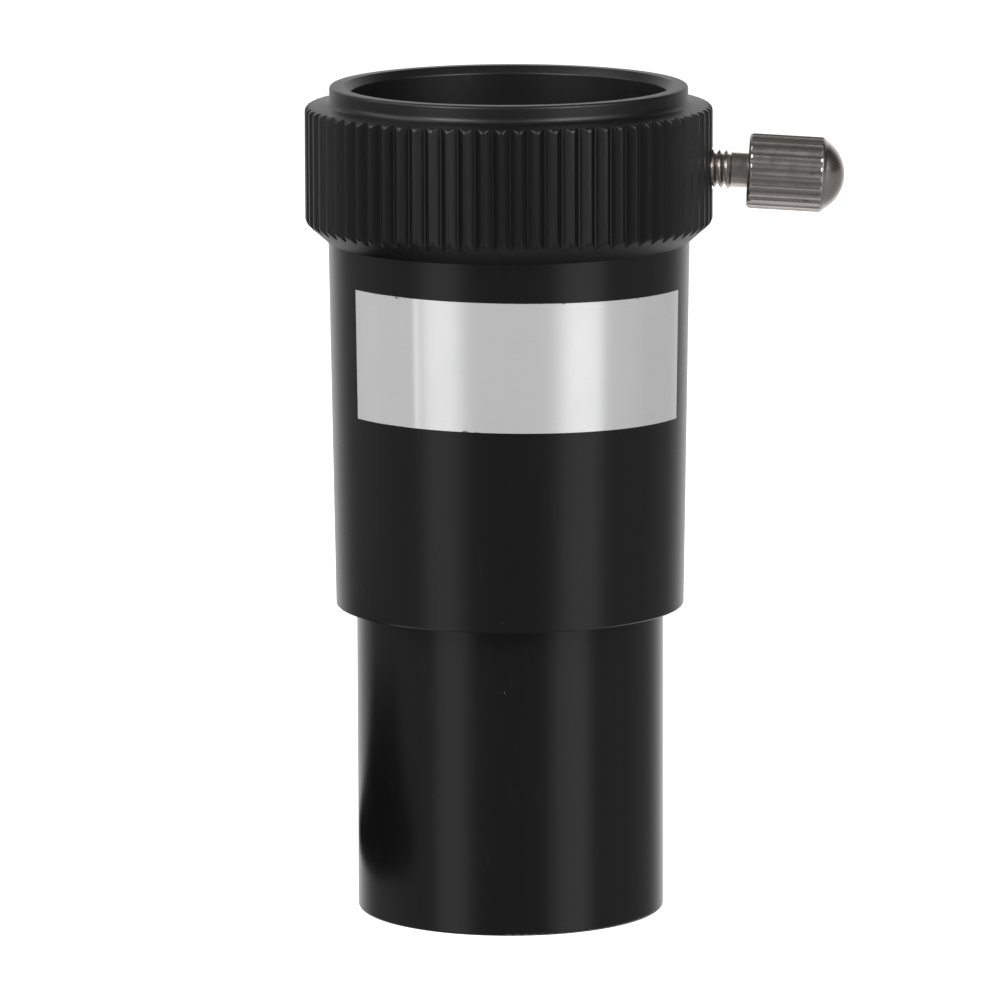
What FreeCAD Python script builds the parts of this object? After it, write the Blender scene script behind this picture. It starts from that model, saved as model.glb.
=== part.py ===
import FreeCAD, Part
import math
import operator
import os

import Sketcher

# Barlow lens for 31.75 mm telescope eyepieces, in millimetres.
#
# +Z runs along the optical axis, from the foot of the nosepiece up to the rim of the eyepiece
# socket.  The origin is the centre of the foot.  The thumbscrew stands out towards +X, and the
# foil label faces -Y.  A section for each piece follows the driving dimensions.

SHEET = "Dims"
DIMENSIONS = [
    # Nosepiece: the barrel that slides into a focuser
    ("NoseLength", 31.9, "foot to the tube's lower edge"),
    ("NoseRadius", 15.83, "barrel outside radius"),
    ("NoseEdgeRound", 0.3, "rounding of the foot's outer edge"),
    ("FilterWall", 1.905, "barrel wall at the foot, out to which the filter thread's bore goes"),
    ("FilterBoreChamfer", 0.4, "lead-in of the filter thread"),
    ("FilterDepth", 6.5, "foot to the end of the filter thread, where the lens cell starts"),
    ("CellBoreStep", 0.325, "filter bore in to the cell's bore"),
    ("SpigotLength", 10.0, "length screwed into the tube"),
    ("SpigotStep", 0.88, "barrel in to the spigot's outside"),
    ("SpigotWall", 2.35, "wall of the spigot"),
    ("ScrewedPlay", 0.05, "radial clearance between screwed pieces"),
    # Body tube
    ("TubeLength", 37.8, "tube between the nosepiece and the collar"),
    ("TubeFootStep", 2.13, "barrel out to the tube's lower edge"),
    ("TubeEdgeChamfer", 0.12, "broken lower edge"),
    ("BaffleSeatWidth", 1.35, "spigot in to the light path, at least"),
    ("SocketDepth", 33.7, "rim to the step that stops an eyepiece"),
    ("SocketRadius", 16.2, "bore that takes the eyepiece"),
    ("StopWidth", 2.6, "width of that step, at least"),
    ("NeckLength", 4.0, "neck screwed into the collar"),
    ("NeckWall", 1.2, "wall of the neck"),
    ("NeckShoulder", 1.14, "neck out to the tube's outside under the collar"),
    ("NeckEndPlay", 0.1, "gap above the neck's end"),
    # Collar
    ("CollarLength", 16.0, "collar foot to rim"),
    ("GripStep", 2.36, "tube out to the grip"),
    ("ConeRise", 2.08, "height of the cone below the grip"),
    ("ConeRound", 0.9, "rounding between cone and grip"),
    ("GripDrop", 2.15, "rim down to the grip's upper edge"),
    ("GripRound", 0.5, "rounding of the grip's upper edge"),
    ("ShoulderDrop", 1.75, "rim down to the root of the rim's wall"),
    ("ShoulderFillet", 0.7, "fillet at the root of the rim's wall"),
    ("RimWall", 2.18, "wall of the rim"),
    ("RimRound", 0.3, "rounding of the rim's outer edge"),
    ("SocketChamfer", 0.9, "lead-in of the socket"),
    ("FluteCount", 72, "flutes around the grip"),
    ("FluteRadius", 0.55, "radius of one flute"),
    ("FluteDepth", 0.55, "depth of one flute"),
    # Thumbscrew, with heights along its own axis from the grip's surface outwards
    ("ScrewDroop", 3.3, "degrees that the screw's head hangs below level"),
    ("ThreadRadius", 1.95, "major radius of the thread"),
    ("ThreadPitch", 0.7, "advance in one turn"),
    ("ThreadDepth", 0.4, "depth of the thread groove"),
    ("ThreadStandOut", 1.75, "thread that shows outside the grip"),
    ("ThreadLead", 1.08, "inner end back to the start of the thread's helix"),
    ("ThreadEndChamfer", 0.35, "lead-in at the inner end"),
    ("ShankRelief", 0.18, "thread in to the plain shank under the head"),
    ("HeadGap", 3.6, "grip to the head's inner face"),
    ("HeadRadius", 3.86, "outside of the knurled head"),
    ("HeadLength", 7.6, "knurled length of the head"),
    ("HeadRound", 0.5, "rounding of the head's inner edge"),
    ("HeadEndRound", 0.6, "rounding of the head's edge beside the dome"),
    ("DomeStep", 0.4, "head in to the base of the domed end"),
    ("DomeFootRise", 0.4, "end of the knurled length to the base of the domed end"),
    ("DomeRise", 1.9, "height of the domed end"),
    ("RibCount", 24, "ribs around the head"),
    ("RibGrooveRadius", 0.8, "radius of the groove between two ribs"),
    ("RibGrooveDepth", 0.11, "depth of the groove between two ribs"),
    # Soft tip of the thumbscrew and the bush that the screw turns in
    ("TipRecess", 0.1, "socket wall back to the tip"),
    ("TipPadRadius", 1.35, "pad that presses on the eyepiece"),
    ("TipPadLength", 0.7, "thickness of the pad"),
    ("TipStemRadius", 0.8, "stem that snaps into the screw"),
    ("TipStemLength", 1.6, "length of the stem"),
    ("TipStemChamfer", 0.2, "lead-in of the stem"),
    ("RunningPlay", 0.05, "radial clearance of what turns"),
    ("TipEndPlay", 0.1, "gap above the end of the stem"),
    ("BushRadius", 2.75, "outside of the brass bush"),
    ("BushMargin", 0.58, "collar wall between the neck's end and the bush"),
    ("BushSeatDepth", 1.3, "grip down to the face that the bush bears on"),
    ("BushRecess", 0.4, "socket wall back to the bush"),
    ("BushChamfer", 0.25, "eased inner edge of the bush"),
    ("ScrewHolePlay", 0.2, "radial clearance of the screw in the grip"),
    # Optics: a cemented negative doublet, its cell and its retaining ring
    ("LensRadius", 9.5, "edge radius of the doublet"),
    ("LensCurve", 17.0, "radius of the two concave faces"),
    ("CrownCentre", 1.4, "crown thickness on the axis"),
    ("FlintEdge", 1.2, "flint thickness at the edge"),
    ("LensPlay", 0.05, "radial clearance of the doublet in its cell"),
    ("LensHold", 0.8, "edge of the doublet covered by the lip and by the ring"),
    ("CellLip", 1.4, "thickness of the lip that the doublet bears on"),
    ("CellLipChamfer", 0.6, "flare above the clear aperture"),
    ("RingHeight", 1.7, "height of the retaining ring"),
    ("RingStep", 0.7, "doublet out to the ring's outside"),
    ("RingRecess", 0.4, "cell foot up to the ring"),
    ("SpannerSlotWidth", 1.4, "slots for a spanner, in cell and ring"),
    ("SpannerSlotDepth", 0.9, "depth of those slots"),
    # Baffle clamped between the nosepiece and the tube
    ("BaffleThickness", 1.0, "thickness of the baffle"),
    ("BaffleWidth", 4.45, "spigot's outside in to the baffle's opening"),
    ("BaffleBevel", 0.7, "height of the bevel of its opening"),
    # Foil label
    ("LabelWidth", 40.1, "length around the tube"),
    ("LabelHeight", 13.25, "height"),
    ("LabelThickness", 0.12, "foil and its glue"),
    ("LabelDrop", 10.6, "collar down to the label's centre"),
    ("LabelTurn", 7.6, "degrees from -Y towards +X"),
    ("LabelTilt", 0.95, "degrees that its right end hangs low"),
]

TOLERANCE = 1e-4
FULL_TURN = 360
GROOVE_WIDTH_SHARE = 0.88  # the thread groove's width at the crests, over the pitch
GROOVE_ROOT_SHARE = 0.2  # its width at the root, over that at the crests
CUTTER_REACH_SHARE = 0.25  # how far its cutter starts outside the crests, over its depth


class Size:
    """A number together with the expression that ties it to the spreadsheet."""

    def __init__(self, number, text=None):
        self.number = float(number)
        self.text = text or repr(float(number))

    def _join(self, other, sign, action, swapped=False):
        other = other if isinstance(other, Size) else Size(other)
        left, right = (other, self) if swapped else (self, other)
        return Size(action(left.number, right.number), f"({left.text} {sign} {right.text})")

    def __add__(self, other):
        return self._join(other, "+", operator.add)

    def __radd__(self, other):
        return self._join(other, "+", operator.add, swapped=True)

    def __sub__(self, other):
        return self._join(other, "-", operator.sub)

    def __rsub__(self, other):
        return self._join(other, "-", operator.sub, swapped=True)

    def __mul__(self, other):
        return self._join(other, "*", operator.mul)

    def __rmul__(self, other):
        return self._join(other, "*", operator.mul, swapped=True)

    def __truediv__(self, other):
        return self._join(other, "/", operator.truediv)

    def __rtruediv__(self, other):
        return self._join(other, "/", operator.truediv, swapped=True)


def root(size):
    return Size(math.sqrt(size.number), f"sqrt({size.text})")


def least(first, second):
    return Size(min(first.number, second.number), f"min({first.text}; {second.text})")


def sine(angle):
    return Size(math.sin(math.radians(angle.number)), f"sin({angle.text})")


def cosine(angle):
    return Size(math.cos(math.radians(angle.number)), f"cos({angle.text})")


class Dimensions:
    """The spreadsheet, read back as sizes: dims.NoseLength and so on."""

    def __init__(self, document):
        sheet = document.addObject("Spreadsheet::Sheet", SHEET)
        for row, (alias, number, note) in enumerate(DIMENSIONS, 1):
            sheet.set(f"A{row}", alias)
            sheet.set(f"B{row}", str(number))
            sheet.setAlias(f"B{row}", alias)
            sheet.set(f"C{row}", note)
            setattr(self, alias, Size(number, f"{SHEET}.{alias}"))
        document.recompute()
        self.work_out_radii()
        self.work_out_heights()

    def work_out_radii(self):
        """From the foot and the socket outwards and inwards, one wall or step after another."""
        self.FilterBoreRadius = self.NoseRadius - self.FilterWall
        self.CellBoreRadius = self.FilterBoreRadius - self.CellBoreStep
        self.SpigotRadius = self.NoseRadius - self.SpigotStep
        self.NoseBoreRadius = self.SpigotRadius - self.SpigotWall
        self.TubeFootRadius = self.NoseRadius + self.TubeFootStep
        self.TubeBoreRadius = least(self.SpigotRadius - self.BaffleSeatWidth,
                                    self.SocketRadius - self.StopWidth)
        self.NeckRadius = self.SocketRadius + self.NeckWall
        self.TubeTopRadius = self.NeckRadius + self.NeckShoulder
        self.CrestRadius = self.TubeTopRadius + self.GripStep
        self.RimRadius = self.SocketRadius + self.RimWall
        self.LensSeatRadius = self.LensRadius - self.LensHold
        self.RingRadius = self.LensRadius + self.RingStep

    def work_out_heights(self):
        """Heights above the foot, and the screw's height above the collar's foot."""
        self.LensSag = self.LensCurve - root(self.LensCurve * self.LensCurve
                                             - self.LensRadius * self.LensRadius)
        self.RingFoot = self.FilterDepth + self.RingRecess
        self.DoubletFoot = self.RingFoot + self.RingHeight
        self.CellLipFoot = self.DoubletFoot + 2 * self.LensSag + self.CrownCentre + self.FlintEdge
        self.CellTop = self.CellLipFoot + self.CellLip
        self.SpigotTop = self.NoseLength + self.SpigotLength
        self.CollarFoot = self.NoseLength + self.TubeLength
        self.ScrewRise = self.NeckLength + self.NeckEndPlay + self.BushMargin + self.BushRadius
        self.ScrewInnerEnd = self.SocketRadius - self.CrestRadius + self.TipRecess + self.TipPadLength


ZERO = Size(0)


def bind(item, path, size):
    item.setExpression(path, size.text)


def new_body(doc, name, height=ZERO):
    body = doc.addObject("PartDesign::Body", name)
    body.Label = name
    bind(body, "Placement.Base.z", height)
    return body


def origin_plane(body, role):
    return next(item for item in body.Origin.OriginFeatures if item.Role == role)


def new_sketch(body, name, role):
    sketch = body.newObject("Sketcher::SketchObject", name)
    sketch.AttachmentSupport = (origin_plane(body, role), [""])
    sketch.MapMode = "FlatFace"
    return sketch


def pin_point(sketch, edge, end, place, name):
    """Tie one point of a sketch to the origin by two bound distances."""
    for axis, kind, size in ((-2, "DistanceX", place[0]), (-1, "DistanceY", place[1])):
        if size is ZERO:
            sketch.addConstraint(Sketcher.Constraint("PointOnObject", edge, end, axis))
            continue
        index = sketch.addConstraint(Sketcher.Constraint(kind, -1, 1, edge, end, size.number))
        sketch.renameConstraint(index, f"{name}_{kind}")
        bind(sketch, f"Constraints.{name}_{kind}", size)


def arc_between(start, end, radius):
    """Arc of a circle from start to end, its bulge to the left of that way if radius > 0."""
    half = (end - start) * 0.5
    across = FreeCAD.Vector(-half.y, half.x, 0).normalize()
    side = math.copysign(1, radius)
    sagitta = abs(radius) - math.sqrt(radius ** 2 - half.Length ** 2)
    return Part.Arc(start, start + half + across * side * sagitta, end)


def rounding_ends(before, corner, after, radius):
    """Where an arc of this radius touches the two sides of a corner."""
    back = (before - corner).normalize()
    ahead = (after - corner).normalize()
    reach = radius * (1 + back.dot(ahead)) / back.cross(ahead).Length
    return corner + back * reach, corner + ahead * reach


def rounding_arc(before, corner, after, radius):
    """The rounding itself, as an arc that touches both sides."""
    start, end = rounding_ends(before, corner, after, radius)
    turn = (before - corner).normalize().cross((after - corner).normalize()).z
    return arc_between(start, end, math.copysign(radius, turn))


def half_section(body, name, points, arcs=None, rounds=None):
    """Closed sketch of (radius, height) corners.

    arcs maps the index of a side, from that corner to the next, to its radius.  rounds maps the
    index of a corner between two straight sides to the radius that it is rounded to.
    """
    arcs = arcs or {}
    rounds = rounds or {}
    sketch = new_sketch(body, name, "XZ_Plane")
    count = len(points)
    corners = [FreeCAD.Vector(across.number, along.number, 0) for across, along in points]

    def neighbours(index):
        return corners[index - 1], corners[index], corners[(index + 1) % count]

    def add(shape, start):
        edge = sketch.addGeometry(shape, False)
        forward = (sketch.getPoint(edge, 1) - start).Length < TOLERANCE
        return (edge, 1, 2) if forward else (edge, 2, 1)

    def bind_radius(edge, index, label, radius):
        bound = sketch.addConstraint(Sketcher.Constraint("Radius", edge, abs(radius.number)))
        sketch.renameConstraint(bound, f"{label}{index}_radius")
        size = radius if radius.number > 0 else 0 - radius
        bind(sketch, f"Constraints.{label}{index}_radius", size)

    leaves = list(corners)
    arrives = list(corners)
    for index, radius in rounds.items():
        arrives[index], leaves[index] = rounding_ends(*neighbours(index), radius.number)
    sides = []
    for index in range(count):
        start, end = leaves[index], arrives[(index + 1) % count]
        if index in arcs:
            sides.append(add(arc_between(start, end, arcs[index].number), start))
            bind_radius(sides[index][0], index, "curve", arcs[index])
        else:
            sides.append(add(Part.LineSegment(start, end), start))
    for index in range(count):
        before, side = sides[index - 1], sides[index]
        if index not in rounds:
            sketch.addConstraint(Sketcher.Constraint("Coincident", before[0], before[2], side[0], side[1]))
            pin_point(sketch, side[0], side[1], points[index], f"corner{index}")
            continue
        arc = add(rounding_arc(*neighbours(index), rounds[index].number), arrives[index])
        tip = sketch.addGeometry(Part.Point(corners[index]), True)
        sketch.addConstraint(Sketcher.Constraint("PointOnObject", tip, 1, before[0]))
        sketch.addConstraint(Sketcher.Constraint("PointOnObject", tip, 1, side[0]))
        sketch.addConstraint(Sketcher.Constraint("Tangent", before[0], before[2], arc[0], arc[1]))
        sketch.addConstraint(Sketcher.Constraint("Tangent", arc[0], arc[2], side[0], side[1]))
        pin_point(sketch, tip, 1, points[index], f"corner{index}")
        bind_radius(arc[0], index, "round", rounds[index])
    return sketch


def turned(body, name, points, arcs=None, rounds=None):
    """Solid of revolution about the body's Z axis."""
    sketch = half_section(body, name + "Section", points, arcs, rounds)
    feature = body.newObject("PartDesign::Revolution", name)
    feature.Profile = sketch
    feature.ReferenceAxis = (sketch, ["V_Axis"])
    feature.Angle = FULL_TURN
    body.Tip = feature
    body.Document.recompute()
    return feature


def grooves(body, name, centre, radius, count, turn, start=ZERO, length=None):
    """Round-bottomed grooves parallel to Z, cut upwards from start all the way or for length."""
    sketch = new_sketch(body, name + "Section", "XY_Plane")
    bind(sketch, "AttachmentOffset.Base.z", start)
    bind(sketch, "AttachmentOffset.Rotation.Angle", turn)
    sketch.addGeometry(Part.Circle(FreeCAD.Vector(centre.number, 0, 0), FreeCAD.Vector(0, 0, 1),
                                   radius.number), False)
    pin_point(sketch, 0, 3, (centre, ZERO), "centre")
    index = sketch.addConstraint(Sketcher.Constraint("Radius", 0, radius.number))
    sketch.renameConstraint(index, "groove_radius")
    bind(sketch, "Constraints.groove_radius", radius)
    cut = body.newObject("PartDesign::Pocket", name)
    cut.Profile = sketch
    cut.Reversed = True
    if length is None:
        cut.Type = "ThroughAll"
    else:
        bind(cut, "Length", length)
    ring = body.newObject("PartDesign::PolarPattern", name + "Ring")
    ring.Originals = [cut]
    ring.Axis = (sketch, ["N_Axis"])
    ring.Angle = FULL_TURN
    bind(ring, "Occurrences", count)
    body.Tip = ring
    body.Document.recompute()
    return ring


def cross_slot(body, name, half_length, width, depth):
    """Straight slot across the axis, cut into the lower face."""
    slot = body.newObject("PartDesign::SubtractiveBox", name)
    bind(slot, "Length", 2 * half_length)
    bind(slot, "Width", width)
    bind(slot, "Height", depth)
    bind(slot, "Placement.Base.x", 0 - half_length)
    bind(slot, "Placement.Base.y", 0 - width / 2)
    body.Tip = slot
    body.Document.recompute()
    return slot


def follow_screw_axis(item, dims, along, rise):
    """Turn an item's Z to the thumbscrew's axis, its origin that far outwards from the grip."""
    item.Placement = FreeCAD.Placement(FreeCAD.Vector(), FreeCAD.Rotation(FreeCAD.Vector(0, 1, 0), 90))
    bind(item, "Placement.Rotation.Angle", 90 + dims.ScrewDroop)
    bind(item, "Placement.Base.x", dims.CrestRadius + along * cosine(dims.ScrewDroop))
    bind(item, "Placement.Base.z", rise - along * sine(dims.ScrewDroop))


def screw_hole(body, dims, name, radius, inner, outer):
    """Round hole along the thumbscrew's axis between two distances from the grip's surface."""
    hole = body.newObject("PartDesign::SubtractiveCylinder", name)
    bind(hole, "Radius", radius)
    bind(hole, "Height", outer - inner)
    follow_screw_axis(hole, dims, inner, dims.ScrewRise)
    body.Tip = hole
    body.Document.recompute()
    return hole


# Nosepiece barrel ------------------------------------------------------------------------------

def nosepiece_barrel(doc, dims):
    body = new_body(doc, "nosepiece_barrel")
    turned(body, "Barrel", [
        (dims.FilterBoreRadius + dims.FilterBoreChamfer, ZERO),
        (dims.NoseRadius, ZERO),
        (dims.NoseRadius, dims.NoseLength),
        (dims.SpigotRadius, dims.NoseLength),
        (dims.SpigotRadius, dims.SpigotTop),
        (dims.NoseBoreRadius, dims.SpigotTop),
        (dims.NoseBoreRadius, dims.CellTop),
        (dims.CellBoreRadius, dims.CellTop),
        (dims.CellBoreRadius, dims.FilterDepth),
        (dims.FilterBoreRadius, dims.FilterDepth),
        (dims.FilterBoreRadius, dims.FilterBoreChamfer),
    ], rounds={1: dims.NoseEdgeRound})
    return body


# Body tube -------------------------------------------------------------------------------------

def body_tube(doc, dims):
    body = new_body(doc, "body_tube", dims.NoseLength)
    neck_top = dims.TubeLength + dims.NeckLength
    step = dims.TubeLength + dims.CollarLength - dims.SocketDepth
    spigot_bore = dims.SpigotRadius + dims.ScrewedPlay
    baffle_top = dims.SpigotLength + dims.BaffleThickness
    turned(body, "Tube", [
        (spigot_bore, ZERO),
        (dims.TubeFootRadius - dims.TubeEdgeChamfer, ZERO),
        (dims.TubeFootRadius, dims.TubeEdgeChamfer),
        (dims.TubeTopRadius, dims.TubeLength),
        (dims.NeckRadius, dims.TubeLength),
        (dims.NeckRadius, neck_top),
        (dims.SocketRadius, neck_top),
        (dims.SocketRadius, step),
        (dims.TubeBoreRadius, step),
        (dims.TubeBoreRadius, baffle_top),
        (spigot_bore, baffle_top),
    ])
    return body


# Eyepiece collar -------------------------------------------------------------------------------

def eyepiece_collar(doc, dims):
    body = new_body(doc, "eyepiece_collar", dims.CollarFoot)
    neck_bore = dims.NeckRadius + dims.ScrewedPlay
    neck_end = dims.NeckLength + dims.NeckEndPlay
    wall_root = dims.CollarLength - dims.ShoulderDrop
    turned(body, "Collar", [
        (neck_bore, ZERO),
        (dims.TubeTopRadius, ZERO),
        (dims.CrestRadius, dims.ConeRise),
        (dims.CrestRadius, dims.CollarLength - dims.GripDrop),
        (dims.RimRadius, wall_root),
        (dims.RimRadius, dims.CollarLength),
        (dims.SocketRadius + dims.SocketChamfer, dims.CollarLength),
        (dims.SocketRadius, dims.CollarLength - dims.SocketChamfer),
        (dims.SocketRadius, neck_end),
        (neck_bore, neck_end),
    ], rounds={2: dims.ConeRound, 3: dims.GripRound, 4: dims.ShoulderFillet, 5: dims.RimRound})
    grooves(body, "Flutes", dims.CrestRadius + dims.FluteRadius - dims.FluteDepth,
            dims.FluteRadius, dims.FluteCount, turn=180 / dims.FluteCount)
    wall = dims.CrestRadius - dims.SocketRadius
    screw_hole(body, dims, "ScrewHole", dims.ThreadRadius + dims.ScrewHolePlay,
               inner=0 - wall / 2, outer=wall / 2)
    screw_hole(body, dims, "BushPocket", dims.BushRadius,
               inner=0 - 2 * wall, outer=0 - dims.BushSeatDepth)
    return body


# Thumbscrew, its soft tip and its bush ---------------------------------------------------------

def screw_body(doc, dims, name):
    body = new_body(doc, name)
    follow_screw_axis(body, dims, ZERO, dims.CollarFoot + dims.ScrewRise)
    return body


def thread_groove(body, dims):
    """One helical V groove from the inner end to the plain shank."""
    half_width = dims.ThreadPitch * GROOVE_WIDTH_SHARE / 2
    cutter_half_width = half_width * (1 + CUTTER_REACH_SHARE)
    root_half_width = half_width * GROOVE_ROOT_SHARE
    cutter_radius = dims.ThreadRadius + dims.ThreadDepth * CUTTER_REACH_SHARE
    root_radius = dims.ThreadRadius - dims.ThreadDepth
    start = dims.ScrewInnerEnd - dims.ThreadLead
    section = half_section(body, "GrooveSection", [
        (cutter_radius, start - cutter_half_width),
        (cutter_radius, start + cutter_half_width),
        (root_radius, start + root_half_width),
        (root_radius, start - root_half_width),
    ])
    helix = body.newObject("PartDesign::SubtractiveHelix", "Thread")
    helix.Profile = section
    helix.ReferenceAxis = (section, ["V_Axis"])
    helix.Mode = "pitch-height-angle"
    bind(helix, "Pitch", dims.ThreadPitch)
    bind(helix, "Height", dims.ThreadStandOut - start)
    helix.LeftHanded = False
    body.Tip = helix
    body.Document.recompute()
    return helix


def thumbscrew(doc, dims):
    body = screw_body(doc, dims, "thumbscrew")
    inner_end = dims.ScrewInnerEnd
    shank_radius = dims.ThreadRadius - dims.ShankRelief
    dome_radius = dims.HeadRadius - dims.DomeStep
    stem_hole = dims.TipStemRadius + dims.RunningPlay
    stem_hole_end = inner_end + dims.TipStemLength + dims.TipEndPlay
    head_end = dims.HeadGap + dims.HeadLength
    dome_foot = head_end + dims.DomeFootRise
    dome_curve = (dome_radius * dome_radius + dims.DomeRise * dims.DomeRise) / (2 * dims.DomeRise)
    turned(body, "Turning", [
        (stem_hole, inner_end),
        (dims.ThreadRadius - dims.ThreadEndChamfer, inner_end),
        (dims.ThreadRadius, inner_end + dims.ThreadEndChamfer),
        (dims.ThreadRadius, dims.ThreadStandOut),
        (shank_radius, dims.ThreadStandOut + dims.ShankRelief),
        (shank_radius, dims.HeadGap),
        (dims.HeadRadius, dims.HeadGap),
        (dims.HeadRadius, head_end),
        (dome_radius, dome_foot),
        (ZERO, dome_foot + dims.DomeRise),
        (ZERO, stem_hole_end),
        (stem_hole, stem_hole_end),
    ], arcs={8: 0 - dome_curve}, rounds={6: dims.HeadRound, 7: dims.HeadEndRound})
    grooves(body, "Knurl", dims.HeadRadius + dims.RibGrooveRadius - dims.RibGrooveDepth,
            dims.RibGrooveRadius, dims.RibCount, turn=180 / dims.RibCount,
            start=dims.HeadGap, length=dims.HeadLength)
    thread_groove(body, dims)
    return body


def thumbscrew_tip(doc, dims):
    body = screw_body(doc, dims, "thumbscrew_tip")
    pad_back = dims.ScrewInnerEnd
    stem_end = pad_back + dims.TipStemLength
    turned(body, "Tip", [
        (ZERO, pad_back - dims.TipPadLength),
        (dims.TipPadRadius, pad_back - dims.TipPadLength),
        (dims.TipPadRadius, pad_back),
        (dims.TipStemRadius, pad_back),
        (dims.TipStemRadius, stem_end - dims.TipStemChamfer),
        (dims.TipStemRadius - dims.TipStemChamfer, stem_end),
        (ZERO, stem_end),
    ])
    return body


def thread_bush(doc, dims):
    body = screw_body(doc, dims, "thread_bush")
    inner = dims.SocketRadius - dims.CrestRadius + dims.BushRecess
    outer = 0 - dims.BushSeatDepth
    bore = dims.ThreadRadius + dims.RunningPlay
    turned(body, "Bush", [
        (bore, inner),
        (dims.BushRadius - dims.BushChamfer, inner),
        (dims.BushRadius, inner + dims.BushChamfer),
        (dims.BushRadius, outer),
        (bore, outer),
    ])
    return body


# Optics ----------------------------------------------------------------------------------------

def crown_lens(doc, dims):
    body = new_body(doc, "crown_lens", dims.DoubletFoot)
    turned(body, "Crown", [
        (ZERO, dims.LensSag),
        (dims.LensRadius, ZERO),
        (dims.LensRadius, 2 * dims.LensSag + dims.CrownCentre),
        (ZERO, dims.LensSag + dims.CrownCentre),
    ], arcs={0: dims.LensCurve, 2: dims.LensCurve})
    return body


def flint_lens(doc, dims):
    """Fills the crown's upper face and is flat above."""
    foot = dims.DoubletFoot + dims.LensSag + dims.CrownCentre
    body = new_body(doc, "flint_lens", foot)
    turned(body, "Flint", [
        (ZERO, ZERO),
        (dims.LensRadius, dims.LensSag),
        (dims.LensRadius, dims.LensSag + dims.FlintEdge),
        (ZERO, dims.LensSag + dims.FlintEdge),
    ], arcs={0: 0 - dims.LensCurve})
    return body


def lens_cell(doc, dims):
    body = new_body(doc, "lens_cell", dims.FilterDepth)
    outside = dims.CellBoreRadius - dims.ScrewedPlay
    ring_bore = dims.RingRadius + dims.ScrewedPlay
    lens_bore = dims.LensRadius + dims.LensPlay
    ring_seat = dims.DoubletFoot - dims.FilterDepth
    lip = dims.CellLipFoot - dims.FilterDepth
    top = dims.CellTop - dims.FilterDepth
    turned(body, "Cell", [
        (ring_bore, ZERO),
        (outside, ZERO),
        (outside, top),
        (dims.LensSeatRadius + dims.CellLipChamfer, top),
        (dims.LensSeatRadius, top - dims.CellLipChamfer),
        (dims.LensSeatRadius, lip),
        (lens_bore, lip),
        (lens_bore, ring_seat),
        (ring_bore, ring_seat),
    ])
    cross_slot(body, "CellSlot", outside, dims.SpannerSlotWidth, dims.SpannerSlotDepth)
    return body


def retaining_ring(doc, dims):
    body = new_body(doc, "retaining_ring", dims.RingFoot)
    turned(body, "Ring", [
        (dims.LensSeatRadius, ZERO),
        (dims.RingRadius, ZERO),
        (dims.RingRadius, dims.RingHeight),
        (dims.LensSeatRadius, dims.RingHeight),
    ])
    cross_slot(body, "RingSlot", dims.RingRadius, dims.SpannerSlotWidth, dims.SpannerSlotDepth)
    return body


# Baffle ----------------------------------------------------------------------------------------

def baffle_ring(doc, dims):
    body = new_body(doc, "baffle_ring", dims.SpigotTop)
    aperture = dims.SpigotRadius - dims.BaffleWidth
    turned(body, "Baffle", [
        (aperture, ZERO),
        (dims.SpigotRadius, ZERO),
        (dims.SpigotRadius, dims.BaffleThickness),
        (aperture + dims.BaffleBevel, dims.BaffleThickness),
        (aperture, dims.BaffleThickness - dims.BaffleBevel),
    ])
    return body


# Foil label ------------------------------------------------------------------------------------

def tube_radius(dims, height):
    """Outside radius of the tube at a height above its foot."""
    return dims.TubeFootRadius + (dims.TubeTopRadius - dims.TubeFootRadius) * height / dims.TubeLength


def tapered_sector(doc, dims, name, stand_off, low, high, angle):
    """Sector of a cone that stands off the tube's outside, between two heights."""
    cone = doc.addObject("Part::Cone", name)
    bind(cone, "Radius1", tube_radius(dims, low) + stand_off)
    bind(cone, "Radius2", tube_radius(dims, high) + stand_off)
    bind(cone, "Height", high - low)
    bind(cone, "Angle", angle)
    bind(cone, "Placement.Base.z", low)
    bind(cone, "Placement.Rotation.Angle", 0 - angle / 2)
    return cone


def tilted_window(doc, dims, middle):
    """Block about +X that leaves the label's height and tilt of whatever it is shared with."""
    reach = 2 * dims.TubeTopRadius
    half_height = dims.LabelHeight / 2
    window = doc.addObject("Part::Box", "LabelWindow")
    right_end_down = FreeCAD.Rotation(FreeCAD.Vector(-1, 0, 0), dims.LabelTilt.number)
    window.Placement = FreeCAD.Placement(FreeCAD.Vector(), right_end_down)
    bind(window, "Length", reach)
    bind(window, "Width", 2 * reach)
    bind(window, "Height", dims.LabelHeight)
    bind(window, "Placement.Rotation.Angle", dims.LabelTilt)
    bind(window, "Placement.Base.y",
         0 - reach * cosine(dims.LabelTilt) - half_height * sine(dims.LabelTilt))
    bind(window, "Placement.Base.z",
         middle + reach * sine(dims.LabelTilt) - half_height * cosine(dims.LabelTilt))
    return window


def label_foil(doc, dims):
    """Rectangle of foil wrapped on the tube: made about +X, then turned to face its own way."""
    middle = dims.TubeLength - dims.LabelDrop
    low = middle - dims.LabelHeight
    high = middle + dims.LabelHeight
    angle = dims.LabelWidth / tube_radius(dims, middle) * (180 / math.pi)
    sleeve = doc.addObject("Part::Cut", "LabelSleeve")
    sleeve.Base = tapered_sector(doc, dims, "LabelOutside", dims.LabelThickness, low, high, angle)
    sleeve.Tool = tapered_sector(doc, dims, "LabelInside", ZERO, low, high, angle)
    label = doc.addObject("Part::Common", "label_foil")
    label.Label = "label_foil"
    label.Base = sleeve
    label.Tool = tilted_window(doc, dims, middle)
    bind(label, "Placement.Base.z", dims.NoseLength)
    bind(label, "Placement.Rotation.Angle", dims.LabelTurn - 90)
    return label


# The whole assembly ----------------------------------------------------------------------------

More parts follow.
